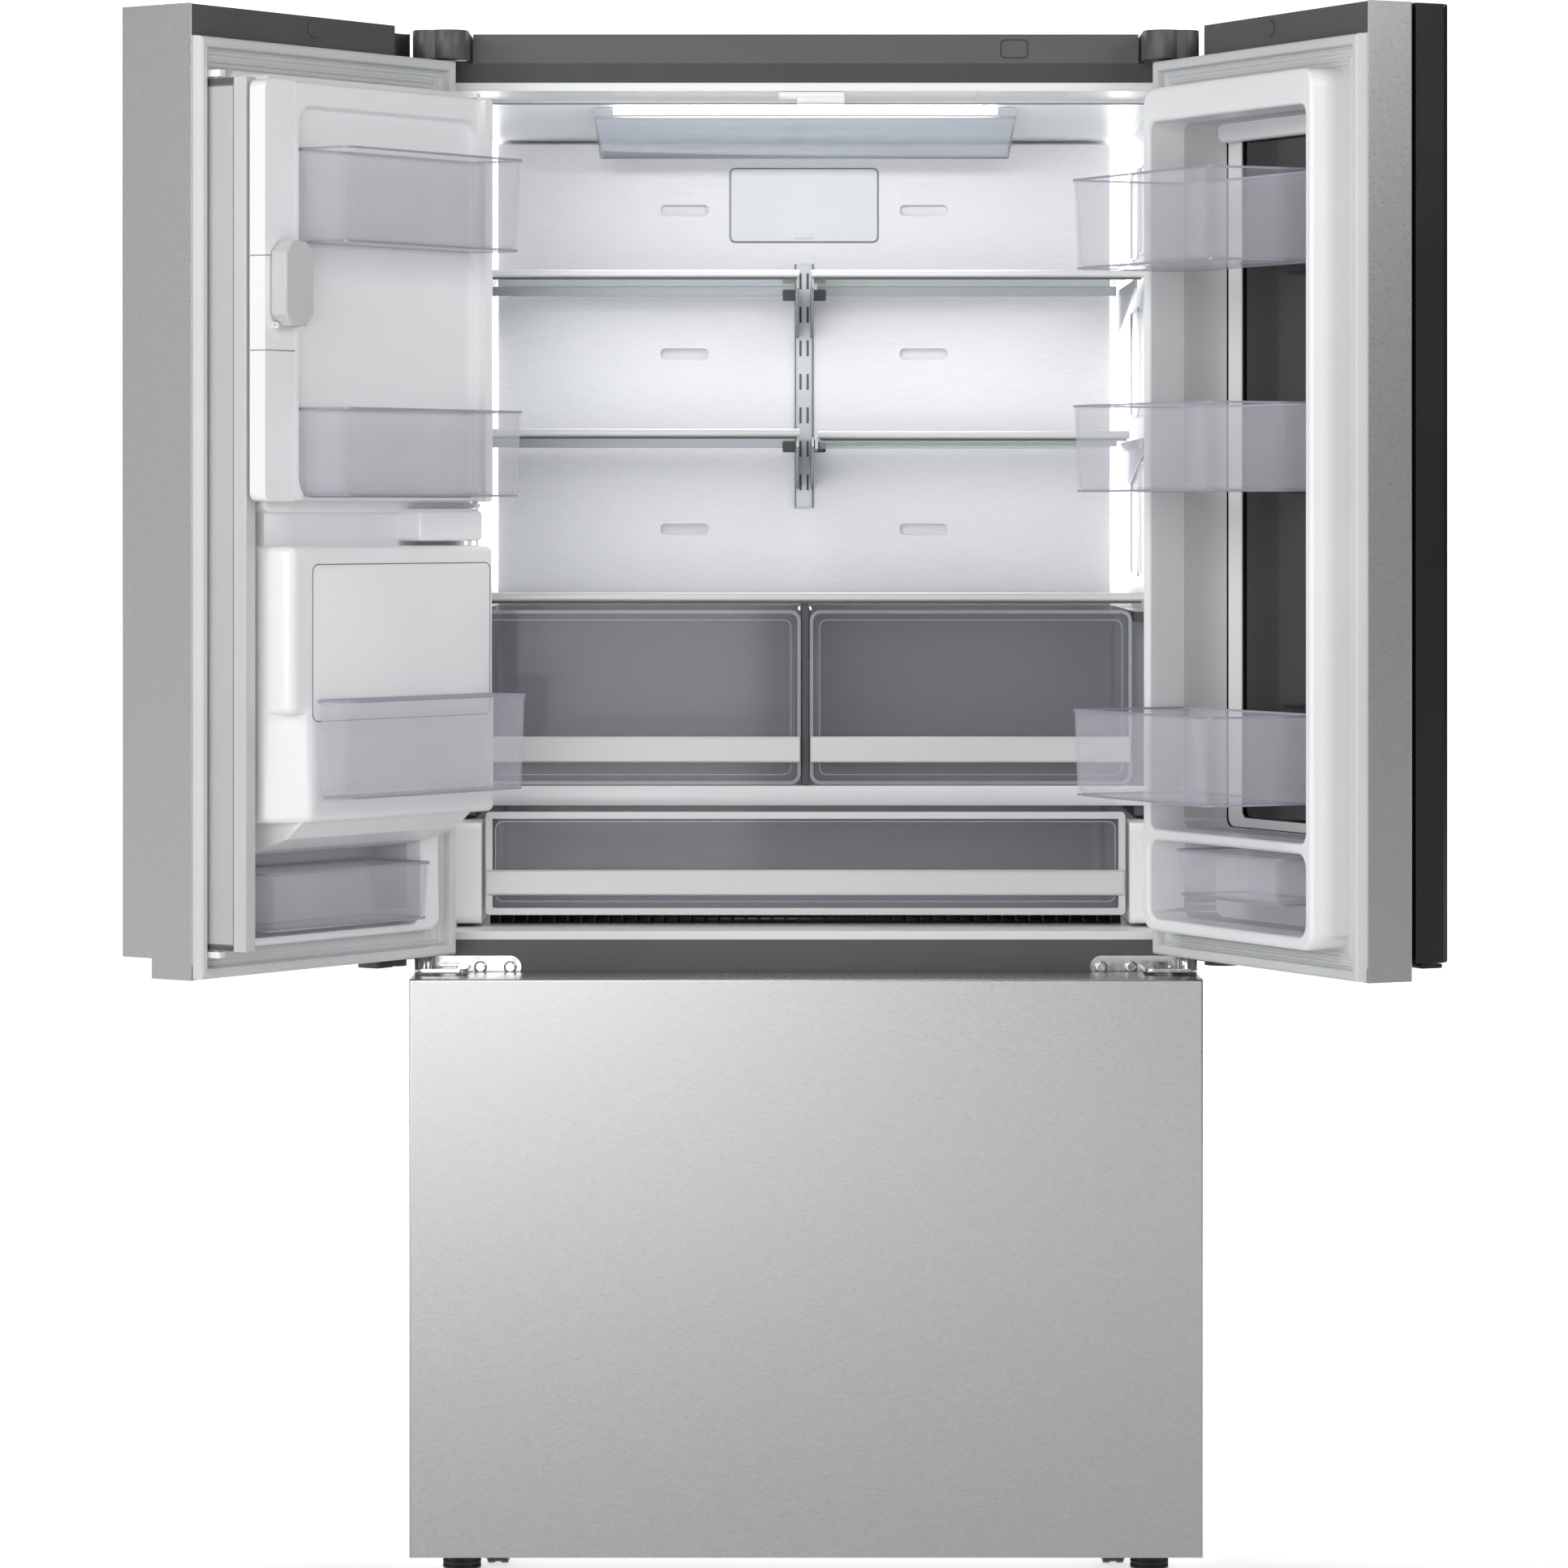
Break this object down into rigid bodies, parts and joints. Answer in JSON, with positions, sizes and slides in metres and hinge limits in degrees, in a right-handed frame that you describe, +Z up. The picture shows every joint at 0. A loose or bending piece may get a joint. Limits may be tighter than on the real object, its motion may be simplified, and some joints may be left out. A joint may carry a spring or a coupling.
{
  "type": "french door refrigerator",
  "caption": "Stainless french door refrigerator with a bottom freezer drawer, a door-in-door glass panel on the right and an ice and water unit in the left door.",
  "frame": {"origin": "on the floor, below the middle of the object's bounding box with its doors open as stored", "axes": "+Z up, +Y from the doors to the back, +X to the right seen from the front"},
  "size_m": [1.4474, 1.0974, 1.783],
  "materials": {
    "stainless": "satin",
    "case_grey": "satin",
    "galvanised": "satin",
    "dark_plastic": "matte",
    "black_plastic": "satin",
    "white_liner": "satin",
    "grey_trim": "satin",
    "light_grey": "satin",
    "chrome": "polished",
    "clear_bin": "gloss",
    "pane": "gloss",
    "dark_glass": "gloss",
    "lamp": "satin",
    "gasket": "matte",
    "foot_rubber": "matte",
    "roller": "satin",
    "foam": "matte",
    "compressor_black": "satin",
    "coil": "satin",
    "rail_steel": "satin",
    "duct_metal": "satin",
    "bucket": "satin"
  },
  "bodies": {
    "cabinet": {"cabinet_shell": "case_grey", "back_panel": "galvanised", "base_pan": "galvanised", "cabinet_foam": "foam", "fridge_liner": "white_liner", "middle_crossbar": "dark_plastic", "top_covers": "dark_plastic", "door_hinges": "chrome", "hinge_screws": "chrome", "duct_panel": "duct_metal", "liner_covers": "light_grey", "interior_lights": "lamp", "shelf_panes": "pane", "shelf_trims": "grey_trim", "shelf_supports": "light_grey", "crisper_frame": "dark_plastic", "pantry_rails": "light_grey", "leveling_feet": "foot_rubber", "compressor": "compressor_black", "condenser": "coil", "evaporator": "coil", "freezer_rails_fixed": "rail_steel", "rear_fittings": "dark_plastic"},
    "left_door": {"left_door_skin": "stainless", "left_door_caps": "dark_plastic", "left_door_core": "white_liner", "left_door_liner": "white_liner", "left_door_gasket": "gasket", "left_door_bins": "clear_bin", "dispenser_front": "black_plastic", "ice_bin": "bucket"},
    "ice_compartment_door": {"ice_door": "white_liner", "ice_door_bins": "clear_bin"},
    "ice_door_latch": {"ice_latch": "light_grey"},
    "dispenser_paddle": {"dispenser_paddle": "dark_plastic"},
    "mullion_flap": {"mullion_flap": "grey_trim"},
    "right_door": {"right_door_skin": "stainless", "right_door_caps": "dark_plastic", "right_door_core": "white_liner", "right_door_liner": "white_liner", "right_door_gasket": "gasket", "right_door_bins": "clear_bin"},
    "outer_door": {"outer_door_frame": "dark_plastic", "outer_door_glass": "dark_glass"},
    "outer_door_latch": {"door_latch": "black_plastic"},
    "freezer_drawer": {"freezer_front": "stainless", "freezer_inner_panel": "white_liner", "freezer_gasket": "gasket", "freezer_basket": "light_grey", "freezer_rails_moving": "rail_steel"},
    "freezer_middle_rails": {"freezer_rails_middle": "rail_steel"},
    "left_crisper": {"crisper_left": "clear_bin", "crisper_handle_left": "grey_trim"},
    "right_crisper": {"crisper_right": "clear_bin", "crisper_handle_right": "grey_trim"},
    "pantry": {"pantry_drawer": "clear_bin", "pantry_handle": "grey_trim"},
    "sliding_shelf": {"sliding_shelf": "pane"},
    "condenser_fan": {"condenser_fan": "black_plastic"},
    "rollers": {"front_rollers": "roller"}
  },
  "joints": [
    {"name": "left_door_hinge", "type": "hinge", "parent": "cabinet", "child": "left_door", "pos_m": [-0.41216, -0.13727, 1.2], "axis": [0, 0, -1], "range_deg": [-125.66, 5]},
    {"name": "right_door_hinge", "type": "hinge", "parent": "cabinet", "child": "right_door", "pos_m": [0.4667, -0.13727, 1.2], "axis": [0, 0, 1], "range_deg": [-116.44, 8]},
    {"name": "ice_door_hinge", "type": "hinge", "parent": "left_door", "child": "ice_compartment_door", "pos_m": [-0.34886, -0.2306, 1.468], "axis": [0, 0, 1], "range_deg": [0, 60]},
    {"name": "ice_latch_tilt", "type": "hinge", "parent": "ice_compartment_door", "child": "ice_door_latch", "pos_m": [-0.53549, -0.52501, 1.431], "axis": [0.583, 0.8125, 0], "range_deg": [0, 20], "stiffness_Nm_per_rad": 1, "springref_deg": -5.73},
    {"name": "paddle_push", "type": "hinge", "parent": "left_door", "child": "dispenser_paddle", "pos_m": [-0.54031, -0.30616, 1.182], "axis": [-0.583, -0.8125, 0], "range_deg": [0, 8], "stiffness_Nm_per_rad": 0.8, "springref_deg": -5.73},
    {"name": "mullion_fold", "type": "hinge", "parent": "left_door", "child": "mullion_flap", "pos_m": [-0.61421, -0.50607, 1.226], "axis": [0, 0, 1], "range_deg": [-90, 0]},
    {"name": "outer_door_hinge", "type": "hinge", "parent": "right_door", "child": "outer_door", "pos_m": [0.50845, -0.11308, 1.26], "axis": [0, 0, 1], "range_deg": [0, 100]},
    {"name": "outer_door_latch_press", "type": "hinge", "parent": "outer_door", "child": "outer_door_latch", "pos_m": [0.68875, -0.49137, 0.742], "axis": [-0.4453, 0.8954, 0], "range_deg": [0, 12], "stiffness_Nm_per_rad": 0.4, "springref_deg": -5.73},
    {"name": "freezer_drawer_slide", "type": "slide", "parent": "cabinet", "child": "freezer_drawer", "axis": [0, -1, 0], "range_m": [0, 0.42]},
    {"name": "freezer_rail_slide", "type": "slide", "parent": "cabinet", "child": "freezer_middle_rails", "axis": [0, -1, 0], "range_m": [0, 0.21]},
    {"name": "left_crisper_slide", "type": "slide", "parent": "cabinet", "child": "left_crisper", "axis": [0, -1, 0], "range_m": [0, 0.24]},
    {"name": "right_crisper_slide", "type": "slide", "parent": "cabinet", "child": "right_crisper", "axis": [0, -1, 0], "range_m": [0, 0.24]},
    {"name": "pantry_slide", "type": "slide", "parent": "cabinet", "child": "pantry", "axis": [0, -1, 0], "range_m": [0, 0.29]},
    {"name": "shelf_slide", "type": "slide", "parent": "cabinet", "child": "sliding_shelf", "axis": [0, -1, 0], "range_m": [0, 0.16]},
    {"name": "condenser_fan_spin", "type": "hinge", "parent": "cabinet", "child": "condenser_fan", "pos_m": [0.10727, 0.43857, 0.148], "axis": [1, 0, 0], "continuous": true},
    {"name": "front_rollers_roll", "type": "hinge", "parent": "cabinet", "child": "rollers", "pos_m": [0.02727, -0.04543, 0.0165], "axis": [1, 0, 0], "continuous": true}
  ],
  "couplings": [
    {"joint": "freezer_rail_slide", "follows": "freezer_drawer_slide", "ratio": 0.5}
  ]
}
